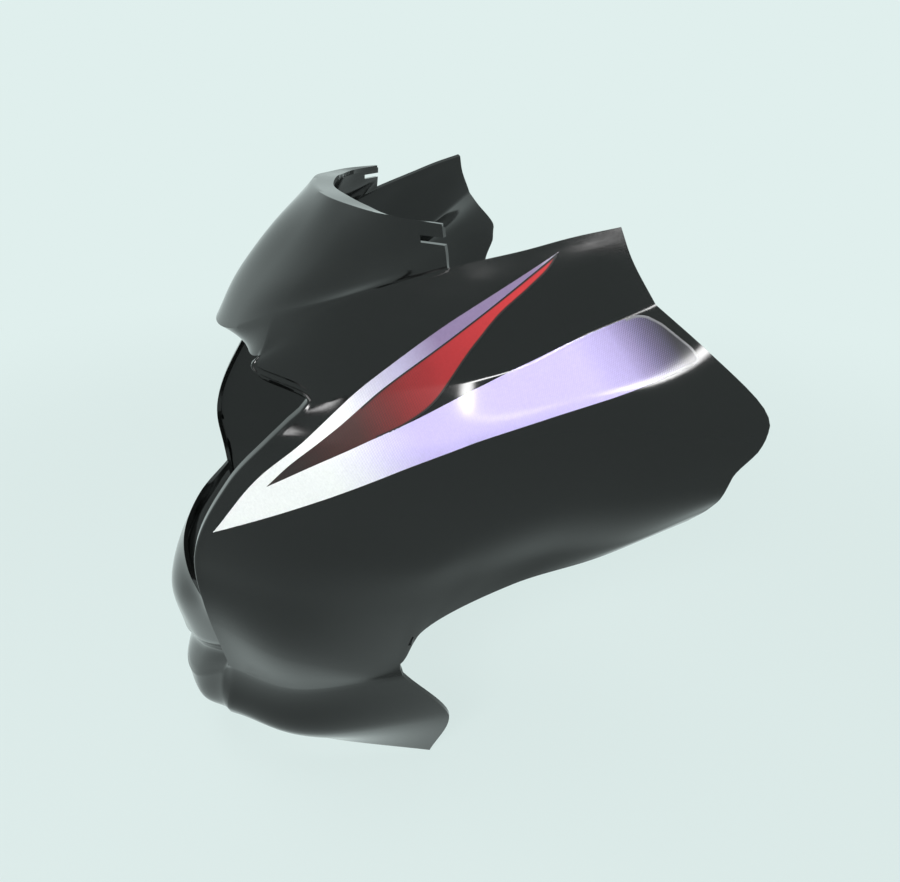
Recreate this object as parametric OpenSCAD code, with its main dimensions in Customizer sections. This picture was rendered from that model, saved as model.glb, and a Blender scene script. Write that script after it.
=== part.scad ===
// Headlight visor of a commuter motorcycle: one gloss black moulding that carries
// a flyscreen hood, two long wings, a bumper strip and a chin, with vinyl stripes.
// Origin: midway between the two side screws. +X is the bike's left, -Y is forward.

/* [Wall] */
// Thickness of the moulding
wall = 2.6; // [2:0.1:3.6]
// Thickness of the vinyl stripes
film = 0.4; // [0.3:0.05:0.6]

/* [Instrument hood] */
// Height of the rim over the side screws
rim_z = 148; // [138:1:158]
// Half width of the rim at its rear corners
rim_x = 100; // [92:1:104]
// Forward edge of the rim
rim_front = -5; // [-12:1:2]
// Width of the turned-in rim at the front
rim_flange = 11; // [7:0.5:14]
// Forward reach of the flyscreen nose
nose_front = -61; // [-69:1:-56]
// Height of the flyscreen nose
nose_z = 85; // [80:1:90]

/* [Wing] */
// Place of the hood's foot behind the side screws
foot_y = 40; // [36:1:44]
// Half width at the foot of the hood
foot_x = 110; // [106:1:116]
// Height at the foot of the hood
foot_z = 131; // [127:1:135]
// Half width at the top rear corner
top_x = 131; // [124:1:140]
// Rear reach of the top corner
top_rear = 102; // [92:1:112]
// Half width at the shoulder, the widest place
wing_x = 181; // [172:1:190]
// Rear reach of the shoulder
wing_rear = 141; // [134:1:149]
// Height of the shoulder at the rear edge
wing_z = 92; // [86:1:98]
// Half width of the wing at its low rear corner
tail_x = 159; // [152:1:166]
// Height of the low rear corner
tail_z = 29; // [22:1:34]

/* [Headlamp opening] */
// Place of the side notch, forward of the side screws
notch_y = -18; // [-21:1:-15]
// Height of the side notch
notch_z = 76; // [74:1:79]
// Place of the upper front corner
brow_y = -37; // [-40:1:-34]
// Place of the cheek's edge where the opening is lowest
lamp_y = -79; // [-82:1:-76]
// Half width at the side notch
notch_x = 100; // [96:1:104]
// Half width at the upper front corner
brow_x = 72; // [68:1:76]
// Half width where the opening is lowest and widest
lamp_x = 91; // [86:1:95]
// Height of the top of the bumper strip
strip_z = -45; // [-50:1:-38]
// How far the cheek's edge rolls in towards the lamp
roll_in = 6; // [4:0.5:9]
// How far the rolled edge reaches forward
roll_front = 1.5; // [1:0.25:3]

/* [Bumper and chin] */
// Forward reach of the bumper strip
strip_front = -112; // [-118:1:-108]
// Depth of the strip behind the cheek edge
step_in = 5; // [4:0.5:7]
// Depth of the groove under the strip
groove = 3; // [2:0.5:6]
// Half width of the chin at its rear edge
chin_x = 101; // [96:1:106]
// Rear reach of the chin
chin_rear = 42; // [38:1:46]
// Lowest point of the chin
chin_z = -197; // [-205:1:-188]

/* [Screw bosses] */
// Radius of each boss
boss_r = 7; // [6:0.5:8]
// Radius of each screw hole
screw_r = 2.6; // [2:0.1:3]
// Depth of each screw hole
screw_len = 16; // [10:1:20]
// Half spacing of the side screws
side_x = 103; // [98:1:104]
// Length of the side bosses
side_len = 26; // [20:1:30]
// Half spacing of the chin screws
low_x = 70; // [64:1:72]
// Height of the chin screws under the side screws
low_z = -148; // [-152:1:-142]
// Rear face of the chin bosses
low_y = 12; // [6:1:18]
// Length of the chin bosses
low_len = 30; // [24:1:34]
// Thickness of the webs that carry the bosses
web = 2.4; // [1.8:0.1:3]

/* [Clip slot] */
// Length of the slot in each rear corner of the hood
slot_len = 8; // [5:0.5:10]
// Height of the slot
slot_h = 2.6; // [1.6:0.2:3.6]
// How far the slot lies under the rim
slot_down = 8; // [6:0.5:12]

/* [Hidden] */

// Width of the cut that makes a clip slot
slot_deep = 20;
// Screw bosses and holes are drawn with this many sides
round_sides = 32;

// Cells across the front, the cheek and the wing, for one half
n_front = 8;
n_cheek = 12;
n_wing = 14;
// Cells down the hood, the facet under it, the cheek, the strip and the chin
n_hood = 8;
n_facet = 2;
n_side = 20;
n_strip = 8;
n_chin = 7;

// Column numbers: end of the front, turn of the rolled edge, cheek edge, foot of the hood, rear edge
j_front = n_front;
j_turn = n_front + 1;
j_edge = n_front + 2;
j_foot = j_edge + n_cheek;
j_rear = j_foot + n_wing;
// Row numbers: rim, nose line, foot of the hood, strip, groove end, chin edge
i_rim = 1;
i_nose = i_rim + n_hood;
i_foot = i_nose + n_facet;
i_strip = i_foot + n_side;
i_fold = i_strip + n_strip;
i_chin = i_fold + n_chin;

// Where the rails' points lie along each row, from the cheek edge to the rear
cheek_t = [0, 0.28, 0.5, 0.6, 0.75, 0.88, 1];
// The same from the middle of the hood to its rear corner
hood_t = [0, 0.25, 0.5, 0.78, 1];
hood_edge_t = 0.5;
front_t = [0, 0.5, 1];

// Rails of the side, from the top edge down to the wing's lower edge
rail_top = [[brow_x, brow_y, nose_z + 3], [foot_x - 18, foot_y - 41, foot_z - 16], [foot_x, foot_y, foot_z],
    [foot_x + 4, foot_y + 10, foot_z + 3], [top_x - 10, top_rear - 34, rim_z - 9],
    [top_x - 5, top_rear - 17, rim_z - 4], [top_x, top_rear, rim_z]];
rail_panel = [[brow_x + 4, brow_y - 3, nose_z - 3], [foot_x - 10, foot_y - 41, foot_z - 31],
    [foot_x + 6, foot_y, foot_z - 17], [foot_x + 10, foot_y + 12, foot_z - 11],
    [top_x - 5, top_rear - 32, rim_z - 23], [top_x + 1, top_rear - 14, rim_z - 17],
    [top_x + 6, top_rear + 3, rim_z - 11]];
rail_crease = [[notch_x, notch_y, notch_z], [foot_x, foot_y - 35, notch_z + 4], [foot_x + 12, foot_y - 2, notch_z + 12],
    [foot_x + 15, foot_y + 10, notch_z + 14], [top_x - 1, top_rear - 34, rim_z - 52],
    [top_x + 5, top_rear - 12, rim_z - 39], [top_x + 15, top_rear + 10, rim_z - 26]];
rail_shoulder = [[notch_x + 5, notch_y - 18.5, notch_z - 16], [foot_x + 10, foot_y - 38, notch_z - 19],
    [foot_x + 23, foot_y - 6, notch_z - 14], [foot_x + 28, foot_y + 8, notch_z - 10],
    [wing_x - 30, wing_rear - 64, wing_z - 17], [wing_x - 13, wing_rear - 32, wing_z - 6], [wing_x, wing_rear, wing_z]];
rail_belly = [[lamp_x + 7.5, lamp_y + 22.5, notch_z - 38], [foot_x + 9, foot_y - 48, notch_z - 56],
    [foot_x + 20, foot_y - 8, notch_z - 62], [foot_x + 25, foot_y + 8, notch_z - 54],
    [wing_x - 31, wing_rear - 60, wing_z - 53], [wing_x - 13, wing_rear - 31, wing_z - 41],
    [wing_x - 1, wing_rear - 6, wing_z - 30]];
rail_low = [[lamp_x, lamp_y, strip_z + 37], [foot_x + 2, foot_y - 70, strip_z + 25],
    [chin_x + 16, foot_y - 20, strip_z + 15], [chin_x + 21, foot_y + 4, strip_z + 27],
    [tail_x - 27, wing_rear - 62, tail_z - 30], [tail_x - 9, wing_rear - 30, tail_z - 14],
    [tail_x + 11, wing_rear - 6, tail_z + 13]];
rail_hem = [[lamp_x - 4, lamp_y - 0.5, strip_z], [chin_x + 2, foot_y - 78, strip_z - 23],
    [chin_x - 1, foot_y - 26, strip_z - 40], [chin_x + 8, foot_y - 15, strip_z - 11],
    [tail_x - 36, wing_rear - 73, tail_z - 51], [tail_x - 21, wing_rear - 36, tail_z - 30],
    [tail_x, wing_rear - 7, tail_z]];
side_rails = [rail_top, rail_panel, rail_crease, rail_shoulder, rail_belly, rail_low, rail_hem];
side_v = [0, 0.12, 0.26, 0.42, 0.6, 0.85, 1];

// Rails of the chin below the side, from its fold to its lower edge
rail_fold = [[lamp_x - 23, lamp_y + 1, strip_z - 53], [chin_x - 14, lamp_y + 41, strip_z - 60],
    [chin_x, chin_rear - 27, strip_z - 48]];
rail_jaw = [[lamp_x - 29, lamp_y - 6, chin_z + 63], [chin_x - 17, lamp_y + 44, chin_z + 52],
    [chin_x - 6, chin_rear, chin_z + 59]];
rail_chin = [[lamp_x - 45, lamp_y - 3, chin_z + 38], [chin_x - 41, lamp_y + 49, chin_z + 18],
    [chin_x - 31, chin_rear - 8, chin_z]];
chin_rails = [rail_fold, rail_jaw, rail_chin];

// Rails of the hood, from the turned-in rim to the foot
rail_flange = [[0, rim_front + rim_flange, rim_z], [34, rim_front + 15, rim_z], [56, rim_front + 21, rim_z - 1],
    [rim_x - 20, foot_y - 15, rim_z - 2], [rim_x - 2, foot_y + 1, rim_z - 2]];
rail_rim = [[0, rim_front, rim_z + 1], [35, rim_front + 4, rim_z + 1], [58, rim_front + 13, rim_z],
    [rim_x - 18, foot_y - 18, rim_z - 1], [rim_x, foot_y, rim_z - 2]];
rail_high = [[0, rim_front - 22, rim_z - 18], [37, rim_front - 13, rim_z - 18], [63, rim_front - 1, rim_z - 18],
    [rim_x - 14, foot_y - 24, rim_z - 16], [rim_x + 3, foot_y, rim_z - 7]];
rail_mid = [[0, nose_front + 13, nose_z + 21], [38, nose_front + 23, nose_z + 24], [66, nose_front + 41, nose_z + 31],
    [foot_x - 21, foot_y - 32, foot_z - 9], [foot_x - 3, foot_y, foot_z + 5]];
rail_nose = [[0, nose_front, nose_z], [38, nose_front + 10, nose_z + 5], [66, nose_front + 31, nose_z + 19],
    [foot_x - 19, foot_y - 40, foot_z - 14], [foot_x - 1, foot_y, foot_z + 1]];
rail_foot = [[0, nose_front + 14, nose_z - 7], [38, nose_front + 16, nose_z - 4], [brow_x, brow_y, nose_z + 3],
    [foot_x - 18, foot_y - 41, foot_z - 16], [foot_x, foot_y, foot_z]];

// Rails of the bumper strip, the groove and the front of the chin
rail_strip = [[0, strip_front + 12, strip_z - 1], [42, strip_front + 18, strip_z],
    [lamp_x - 4 - step_in, lamp_y, strip_z]];
rail_face = [[0, strip_front, strip_z - 30], [40, strip_front + 9, strip_z - 22],
    [lamp_x - 13 - step_in, lamp_y + 1, strip_z - 15]];
rail_lip = [[0, strip_front + 1, strip_z - 64], [35, strip_front + 12, strip_z - 54],
    [lamp_x - 20 - step_in, lamp_y + 1, strip_z - 39]];
rail_groove = [[0, strip_front + 1 + groove, strip_z - 75], [33, strip_front + 12 + groove, strip_z - 65],
    [lamp_x - 25 - step_in, lamp_y + 2, strip_z - 49]];
rail_bridge = [[0, strip_front - 2, strip_z - 93], [36, strip_front + 7, strip_z - 82],
    [lamp_x - 28, lamp_y - 4, strip_z - 58]];
rail_face_low = [[0, strip_front + 2, chin_z + 41], [36, strip_front + 9, chin_z + 50],
    [lamp_x - 34, lamp_y - 9, chin_z + 62]];
rail_chin_low = [[0, lamp_y - 13, chin_z + 30], [24, lamp_y - 11, chin_z + 32], [lamp_x - 49, lamp_y - 5, chin_z + 38]];

// One cubic through a and b with end slopes p and q
function hermite(a, b, p, q, s) =
    (2*s^3 - 3*s^2 + 1)*a + (s^3 - 2*s^2 + s)*p + (3*s^2 - 2*s^3)*b + (s^3 - s^2)*q;

// Slope at knot k; side is -1 before it and 1 after it; crisp 1 makes a crease there
// A rail that starts on the middle plane leaves it square, so both halves join smoothly
function slope(pts, ts, k, side, crisp) =
    let (last = len(pts) - 1,
        before = k > 0 ? (pts[k] - pts[k - 1])/(ts[k] - ts[k - 1]) : undef,
        after = k < last ? (pts[k + 1] - pts[k])/(ts[k + 1] - ts[k]) : undef)
    k == 0 ? (pts[0][0] == 0 && pts[1][0] > 0 ? [after[0], 0, 0] : after) : k == last ? before :
    let (h0 = ts[k] - ts[k - 1], h1 = ts[k + 1] - ts[k],
        smooth = (before*h1 + after*h0)/(h0 + h1))
    smooth*(1 - crisp) + (side < 0 ? before : after)*crisp;

// Knot before t
function span(ts, t, k = 0) = k >= len(ts) - 2 || t < ts[k + 1] ? k : span(ts, t, k + 1);

// Smooth curve through pts at knots ts; crisp is 0 to 1 at each knot
function curve(pts, ts, t, crisp = []) =
    let (k = span(ts, t), h = ts[k + 1] - ts[k], s = (t - ts[k])/h,
        c0 = is_undef(crisp[k]) ? 0 : crisp[k],
        c1 = is_undef(crisp[k + 1]) ? 0 : crisp[k + 1])
    hermite(pts[k], pts[k + 1], slope(pts, ts, k, 1, c0)*h, slope(pts, ts, k + 1, -1, c1)*h, s);

function mix(a, b, s) = a + (b - a)*s;

// Column of the hood at u, from the flange to the facet under the nose
function hood_column(u, foot) =
    let (rim = curve(rail_rim, hood_t, u), nose = curve(rail_nose, hood_t, u),
        body = [rim, curve(rail_high, hood_t, u), curve(rail_mid, hood_t, u), nose])
    [curve(rail_flange, hood_t, u),
        for (i = [0:n_hood]) curve(body, [0, 0.32, 0.66, 1], i/n_hood),
        for (i = [1:n_facet]) mix(nose, foot, i/n_facet)];

// Rows below the foot: side rails to the hem, then fold, jaw and chin edge
function side_column(u) =
    let (crease = min(1, u*1.6), rows = [for (r = side_rails) curve(r, cheek_t, u)],
        low = u <= cheek_t[2] ? [for (r = chin_rails) curve(r, [0, 0.28, 0.5], u)] : [],
        all_rows = concat(rows, low),
        v = concat(side_v, len(low) > 0 ? [1.1, 1.35, 1.6] : []),
        crisp = [1, 0, crease, 0, 0, 0, 0, 0.6, 0.2, 1])
    [for (i = [1:n_side]) curve(all_rows, v, i/n_side, crisp),
        if (u <= cheek_t[2]) for (i = [1:n_strip]) curve(all_rows, v, 1 + 0.1*i/n_strip, crisp),
        if (u <= cheek_t[2]) for (i = [1:n_chin]) curve(all_rows, v, 1.1 + 0.5*i/n_chin, crisp)];

// Rows of the front: strip, groove, then the front of the chin
function front_column(u) =
    let (rows = [for (r = [rail_strip, rail_face, rail_lip, rail_groove, rail_bridge]) curve(r, front_t, u)],
        low = [for (r = [rail_bridge, rail_face_low, rail_chin_low]) curve(r, front_t, u)])
    [for (i = [0:n_strip]) curve(rows, [0, 0.35, 0.62, 0.8, 1], i/n_strip, [1, 0, 0.9, 0, 0]),
        for (i = [1:n_chin]) curve(low, [0, 0.5, 1], i/n_chin)];

blank = [0, 0, 0];
gap_rows = [for (i = [1:n_side - 1]) blank];

// Rolled edge of the cheek beside the lamp: a turn forward, then straight inwards
function rolled_edge(inward) =
    let (edge = side_column(0), top = curve(rail_foot, hood_t, hood_edge_t*0.96) - rail_top[0],
        low = rail_strip[2] - rail_hem[0])
    [for (i = [1:n_side - 1])
        let (s = i/n_side, ends = mix(top, low, s)*(inward/roll_in), near_end = min(1, min(s, 1 - s)*6))
        edge[i - 1] + mix(ends, [-inward, -roll_front, 0], near_end)];

// All points of one column, from the flange down to the chin edge
function column(j) =
    j <= j_front ?
        let (u = hood_edge_t*(j/j_front)*0.96)
        concat(hood_column(u, curve(rail_foot, hood_t, u)), j == j_front ? rolled_edge(roll_in) : gap_rows,
            front_column(j/j_front)) :
    j == j_turn ?
        let (a = column(j_front), b = column(j_edge), turn = rolled_edge(roll_front))
        [for (i = [0:i_chin]) i > i_foot && i < i_strip ? turn[i - i_foot - 1] : mix(a[i], b[i], 0.5)] :
    j <= j_foot ?
        let (s = (j - j_edge)/n_cheek, u = cheek_t[2]*s, foot = curve(rail_top, cheek_t, u))
        concat(hood_column(mix(hood_edge_t, 1, s), foot), side_column(u)) :
        let (u = mix(cheek_t[2], 1, (j - j_foot)/n_wing))
        concat([for (i = [1:i_foot]) blank], [curve(rail_top, cheek_t, u)], side_column(u),
            [for (i = [1:n_strip + n_chin]) blank]);

// True where the skin covers the cell below row i and after column j
function covered(i, j) =
    let (c = j < 0 ? -j - 1 : j)
    c < 0 || c >= j_rear || i < 0 || i >= i_chin ? false :
    c >= j_foot ? i >= i_foot && i < i_strip :
    c >= j_front ? true :
    i < i_foot || i >= i_strip;

half = [for (j = [0:j_rear]) column(j)];
function outer_at(i, j) = j < 0 ? let (p = half[-j][i]) [-p[0], p[1], p[2]] : half[j][i];

// Outward direction of one cell, and of one grid point from the cells round it
function cell_out(i, j) =
    let (n = cross(outer_at(i + 1, j + 1) - outer_at(i, j), outer_at(i, j + 1) - outer_at(i + 1, j)))
    n/norm(n);
function point_out(i, j) =
    let (cells = [for (a = [-1, 0], b = [-1, 0]) if (covered(i + a, j + b)) cell_out(i + a, j + b)])
    len(cells) == 0 ? blank : total(cells)/norm(total(cells));
function total(v, k = 0) = k >= len(v) ? blank : v[k] + total(v, k + 1);

// Skin between two offsets from the outer surface, as one closed polyhedron
module skin(out_off, in_off) {
    cols = 2*j_rear + 1;
    rows = i_chin + 1;
    count = rows*cols;
    dirs = [for (i = [0:i_chin], j = [-j_rear:j_rear]) point_out(i, j)];
    base = [for (i = [0:i_chin], j = [-j_rear:j_rear]) outer_at(i, j)];
    pts = [for (k = [0:count - 1]) base[k] + out_off*dirs[k],
        for (k = [0:count - 1]) base[k] + in_off*dirs[k]];
    function at(i, j) = i*cols + j + j_rear;
    faces = [for (i = [0:i_chin - 1], j = [-j_rear:j_rear - 1]) if (covered(i, j))
        let (a = at(i, j), b = at(i, j + 1), c = at(i + 1, j + 1), d = at(i + 1, j))
        each [for (t = j < 0 ? [[a, b, d], [b, c, d]] : [[a, b, c], [a, c, d]])
                each [t, [t[2] + count, t[1] + count, t[0] + count]],
            if (!covered(i - 1, j)) [a, b + count, b], if (!covered(i - 1, j)) [a, a + count, b + count],
            if (!covered(i + 1, j)) [c, d + count, d], if (!covered(i + 1, j)) [c, c + count, d + count],
            if (!covered(i, j - 1)) [d, a + count, a], if (!covered(i, j - 1)) [d, d + count, a + count],
            if (!covered(i, j + 1)) [b, c + count, c], if (!covered(i, j + 1)) [b, b + count, c + count]]];
    polyhedron(pts, faces, convexity = 10);
}

// Half width of the outer surface at one place in the side view
function column_at(j, z, axis) =
    lookup(z, [for (i = [i_foot:j <= j_foot ? i_chin : i_strip]) [half[j][i][2], half[j][i][axis]]]);
function skin_x(y, z) =
    lookup(y, [for (j = [j_edge:z < strip_z ? j_foot : j_rear]) [column_at(j, z, 1), column_at(j, z, 0)]]);

// Web from a boss out to the middle of the skin, on one side
module boss_web(x, y, z, len) {
    steps = 4;
    reach = [for (k = [0:steps]) let (at_y = y - len*k/steps) [skin_x(at_y, z) - wall/2, at_y]];
    translate([0, 0, z - web/2]) linear_extrude(web) polygon(concat([[x, y - len], [x, y]], reach));
}

// Boss with its axis along Y, its rear face at y
module boss(x, y, z, len) {
    translate([x, y, z]) rotate([90, 0, 0]) cylinder(r = boss_r, h = len, $fn = round_sides);
}

module both_sides() {
    children();
    mirror([1, 0, 0]) children();
}

// Resize to nothing keeps every size: it makes one plain mesh of the moulding's walls
module moulding() {
    resize([0, 0, 0]) difference() {
        skin(0, -wall);
        both_sides() translate([rim_x - slot_deep/2, foot_y - slot_len, rim_z - slot_down - slot_h/2])
            cube([slot_deep, slot_len + slot_h, slot_h]);
    }
}

module visor_shell() {
    color([0.05, 0.05, 0.06]) difference() {
        union() {
            moulding();
            both_sides() {
                boss(side_x, 0, 0, side_len);
                boss_web(side_x, 0, 0, side_len);
                boss(low_x, low_y, low_z, low_len);
                boss_web(low_x, low_y, low_z, low_len);
            }
        }
        both_sides() {
            translate([side_x, 0, 0]) rotate([90, 0, 0]) cylinder(r = screw_r, h = screw_len, $fn = round_sides);
            translate([low_x, low_y, low_z]) rotate([90, 0, 0]) cylinder(r = screw_r, h = screw_len, $fn = round_sides);
        }
    }
}

// Vinyl film on the left side inside an outline drawn in the side view
module film_on_side(outline) {
    resize([0, 0, 0]) difference() {
        intersection() {
            skin(film, -wall/4);
            translate([brow_x, 0, 0]) rotate([90, 0, 90]) linear_extrude(wing_x) polygon(outline);
        }
        skin(0, -wall);
    }
}

// Edges of the stripes in the side view, as forward and upward places
stripe_tip = [-68, 13];
blade_tip = [top_rear - 22, rim_z - 9];
inner_notch = [-41, 39];
band_top = [wing_rear - 32, wing_z + 27.5];
band_end = [wing_rear - 17, wing_z + 14.5];
thin_upper = [stripe_tip, [-41, 46], [-18, 65], [7, 86], [31, 105], mix([31, 105], blade_tip, 0.7), blade_tip];
thin_lower = [inner_notch, [-31, 49.5], [-5, 69.5], [15, 86], [38, 104], mix([38, 104], blade_tip, 0.65), blade_tip];
band_upper = [inner_notch, [-20, 51], [2, 62], [21, 71.5], [40, 82], [58, 91], mix([58, 91], band_top, 0.5), band_top];
band_lower = [stripe_tip, [-30, 29], [3, 45], [20, 54], [48, 68], [67, 77], mix([67, 77], band_end, 0.5), band_end];
blade_rear = [blade_tip, [77, 134], [69, 125.5], [58, 115], [49, 103.5], [30, 79], [22, 73]];

function reversed(v) = [for (k = [len(v) - 1:-1:0]) v[k]];
stripe_outline = concat(thin_upper, reversed(thin_lower), band_upper, reversed(band_lower));
blade_outline = concat(thin_lower, blade_rear, reversed([for (p = band_upper) if (p[0] < 22) p]));

module stripe_left() { color([0.8, 0.76, 0.92]) film_on_side(stripe_outline); }
module stripe_right() { mirror([1, 0, 0]) stripe_left(); }
module red_blade_left() { color([0.72, 0.13, 0.14]) film_on_side(blade_outline); }
module red_blade_right() { mirror([1, 0, 0]) red_blade_left(); }

visor_shell();
stripe_left();
stripe_right();
red_blade_left();
red_blade_right();
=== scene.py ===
import math

import bmesh
import bpy
import numpy as np
from mathutils import Matrix, Vector
from mathutils.bvhtree import BVHTree
from mathutils.interpolate import poly_3d_calc


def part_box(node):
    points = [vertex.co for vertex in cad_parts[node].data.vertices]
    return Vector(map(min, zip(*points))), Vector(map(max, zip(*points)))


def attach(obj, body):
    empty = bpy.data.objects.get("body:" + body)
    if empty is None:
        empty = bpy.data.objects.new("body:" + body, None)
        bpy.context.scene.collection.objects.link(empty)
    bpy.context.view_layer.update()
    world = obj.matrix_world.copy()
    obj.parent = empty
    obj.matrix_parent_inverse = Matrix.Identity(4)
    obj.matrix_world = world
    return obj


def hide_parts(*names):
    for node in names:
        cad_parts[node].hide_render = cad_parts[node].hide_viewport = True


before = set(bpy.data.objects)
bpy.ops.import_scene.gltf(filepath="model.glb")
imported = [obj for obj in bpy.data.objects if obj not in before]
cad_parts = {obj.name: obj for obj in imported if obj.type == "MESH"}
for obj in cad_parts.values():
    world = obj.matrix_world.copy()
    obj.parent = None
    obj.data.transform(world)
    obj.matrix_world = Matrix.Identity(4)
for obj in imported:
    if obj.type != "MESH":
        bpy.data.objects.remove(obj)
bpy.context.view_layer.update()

# Camera. The visor is seen from its left side, a little from above and from
# close by, so its far half shows through the instrument bay and lamp opening.
photo_wide, photo_high = 900, 882
focal_px = 700.0
middle_px = (460.0, 445.0)
# Where lines square to the visor's middle plane meet in the picture
side_vanishing_px = (267.8, 69.2)
camera_place = (0.3787, -0.020, 0.200)

camera_tilt = math.atan((middle_px[1] - side_vanishing_px[1]) / focal_px)
camera_turn = math.atan((middle_px[0] - side_vanishing_px[0]) / focal_px * math.cos(camera_tilt))
camera_back = Vector((math.cos(camera_turn) * math.cos(camera_tilt),
                      -math.sin(camera_turn) * math.cos(camera_tilt),
                      math.sin(camera_tilt)))
camera_right = Vector((math.sin(camera_turn), math.cos(camera_turn), 0))
camera_up = camera_back.cross(camera_right)

camera_data = bpy.data.cameras.new("camera")
camera_data.sensor_width = 36
camera_data.lens = camera_data.sensor_width * focal_px / photo_wide
camera_data.shift_x = (photo_wide / 2 - middle_px[0]) / photo_wide
camera_data.shift_y = (middle_px[1] - photo_high / 2) / photo_wide
camera = bpy.data.objects.new("camera", camera_data)
bpy.context.collection.objects.link(camera)
turn = Matrix((camera_right, camera_up, camera_back)).transposed()
camera.matrix_world = Matrix.Translation(camera_place) @ turn.to_4x4()
bpy.context.scene.camera = camera

# The moulding. One skin of gloss black plastic, 2.6 mm thick, injection moulded:
# hood with a turned-in rim, cheeks and long wings, bumper strip, groove and chin.
# Rails run along its main lines, and smooth curves between them make the skin.
mm = 0.001
wall = 2.6
rim_z, rim_x, rim_front, rim_flange = 148, 100, -5, 11
nose_front, nose_z = -61, 85
foot_x, foot_y, foot_z = 110, 40, 131
top_x, top_rear = 131, 102
wing_x, wing_rear, wing_z = 181, 141, 92
tail_x, tail_z = 159, 29
notch_x, notch_y, notch_z = 100, -18, 76
brow_x, brow_y = 72, -37
lamp_x, lamp_y = 91, -79
strip_z, strip_front, step_in, groove = -45, -112, 5, 3
roll_in, roll_front = 6, 1.5
chin_x, chin_rear, chin_z = 101, 42, -197

# Down the side: top edge, a line under it, crease, ridge along the stripe, shoulder,
# two lines over the flank, lower edge. The ridge is the scene's own fine relief.
side_rails = [
    [(brow_x, brow_y, nose_z + 3), (foot_x - 18, foot_y - 41, foot_z - 16), (foot_x, foot_y, foot_z),
     (foot_x + 4, foot_y + 10, foot_z + 3), (top_x - 10, top_rear - 34, rim_z - 9),
     (top_x - 5, top_rear - 17, rim_z - 4), (top_x, top_rear, rim_z)],
    [(brow_x + 4, brow_y - 3, nose_z - 3), (foot_x - 10, foot_y - 41, foot_z - 31),
     (foot_x + 6, foot_y, foot_z - 17), (foot_x + 10, foot_y + 12, foot_z - 11),
     (top_x - 5, top_rear - 32, rim_z - 23), (top_x + 1, top_rear - 14, rim_z - 17),
     (top_x + 6, top_rear + 3, rim_z - 11)],
    [(notch_x + 2, notch_y, notch_z), (foot_x, foot_y - 35, notch_z + 4),
     (foot_x + 12, foot_y - 2, notch_z + 12), (foot_x + 15, foot_y + 10, notch_z + 14),
     (top_x - 1, top_rear - 34, rim_z - 52),
     (top_x + 5, top_rear - 12, rim_z - 39), (top_x + 15, top_rear + 10, rim_z - 26)],
    [(notch_x + 3.5, notch_y - 10, notch_z - 9), (foot_x + 6.5, foot_y - 37, notch_z - 10),
     (foot_x + 20, foot_y - 5, notch_z - 6), (foot_x + 25.5, foot_y + 8, notch_z - 2),
     (wing_x - 36, wing_rear - 69, wing_z - 8), (wing_x - 23, wing_rear - 41, wing_z + 5),
     (wing_x - 15, wing_rear - 16, wing_z + 17)],
    [(notch_x + 4.5, notch_y - 18.5, notch_z - 16), (foot_x + 10, foot_y - 38, notch_z - 19),
     (foot_x + 23, foot_y - 6, notch_z - 14), (foot_x + 28, foot_y + 8, notch_z - 10),
     (wing_x - 30, wing_rear - 64, wing_z - 17), (wing_x - 13, wing_rear - 32, wing_z - 6),
     (wing_x, wing_rear, wing_z)],
    [(lamp_x + 7.5, lamp_y + 22.5, notch_z - 38), (foot_x + 9, foot_y - 48, notch_z - 56),
     (foot_x + 20, foot_y - 8, notch_z - 62), (foot_x + 25, foot_y + 8, notch_z - 54),
     (wing_x - 31, wing_rear - 60, wing_z - 53), (wing_x - 13, wing_rear - 31, wing_z - 41),
     (wing_x - 1, wing_rear - 6, wing_z - 30)],
    [(lamp_x, lamp_y, strip_z + 37), (foot_x + 2, foot_y - 70, strip_z + 25),
     (chin_x + 16, foot_y - 20, strip_z + 15), (chin_x + 21, foot_y + 4, strip_z + 27),
     (tail_x - 27, wing_rear - 62, tail_z - 30), (tail_x - 9, wing_rear - 30, tail_z - 14),
     (tail_x + 11, wing_rear - 6, tail_z + 13)],
    [(lamp_x - 4, lamp_y - 0.5, strip_z), (chin_x + 2, foot_y - 78, strip_z - 23),
     (chin_x - 1, foot_y - 26, strip_z - 40), (chin_x + 8, foot_y - 15, strip_z - 11),
     (tail_x - 36, wing_rear - 73, tail_z - 51), (tail_x - 21, wing_rear - 36, tail_z - 30),
     (tail_x, wing_rear - 7, tail_z)],
]
chin_rails = [
    [(lamp_x - 23, lamp_y + 1, strip_z - 53), (chin_x - 14, lamp_y + 41, strip_z - 60),
     (chin_x, chin_rear - 27, strip_z - 48)],
    [(lamp_x - 29, lamp_y - 6, chin_z + 63), (chin_x - 17, lamp_y + 44, chin_z + 52),
     (chin_x - 6, chin_rear, chin_z + 59)],
    [(lamp_x - 45, lamp_y - 3, chin_z + 38), (chin_x - 41, lamp_y + 49, chin_z + 18),
     (chin_x - 31, chin_rear - 8, chin_z)],
]
rail_flange = [(0, rim_front + rim_flange, rim_z), (34, rim_front + 15, rim_z),
               (56, rim_front + 21, rim_z - 1),
               (rim_x - 20, foot_y - 15, rim_z - 2), (rim_x - 2, foot_y + 1, rim_z - 2)]
rail_rim = [(0, rim_front, rim_z + 1), (35, rim_front + 4, rim_z + 1), (58, rim_front + 13, rim_z),
            (rim_x - 18, foot_y - 18, rim_z - 1), (rim_x, foot_y, rim_z - 2)]
rail_high = [(0, rim_front - 22, rim_z - 18), (37, rim_front - 13, rim_z - 18),
             (63, rim_front - 1, rim_z - 18),
             (rim_x - 14, foot_y - 24, rim_z - 16), (rim_x + 3, foot_y, rim_z - 7)]
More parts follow.
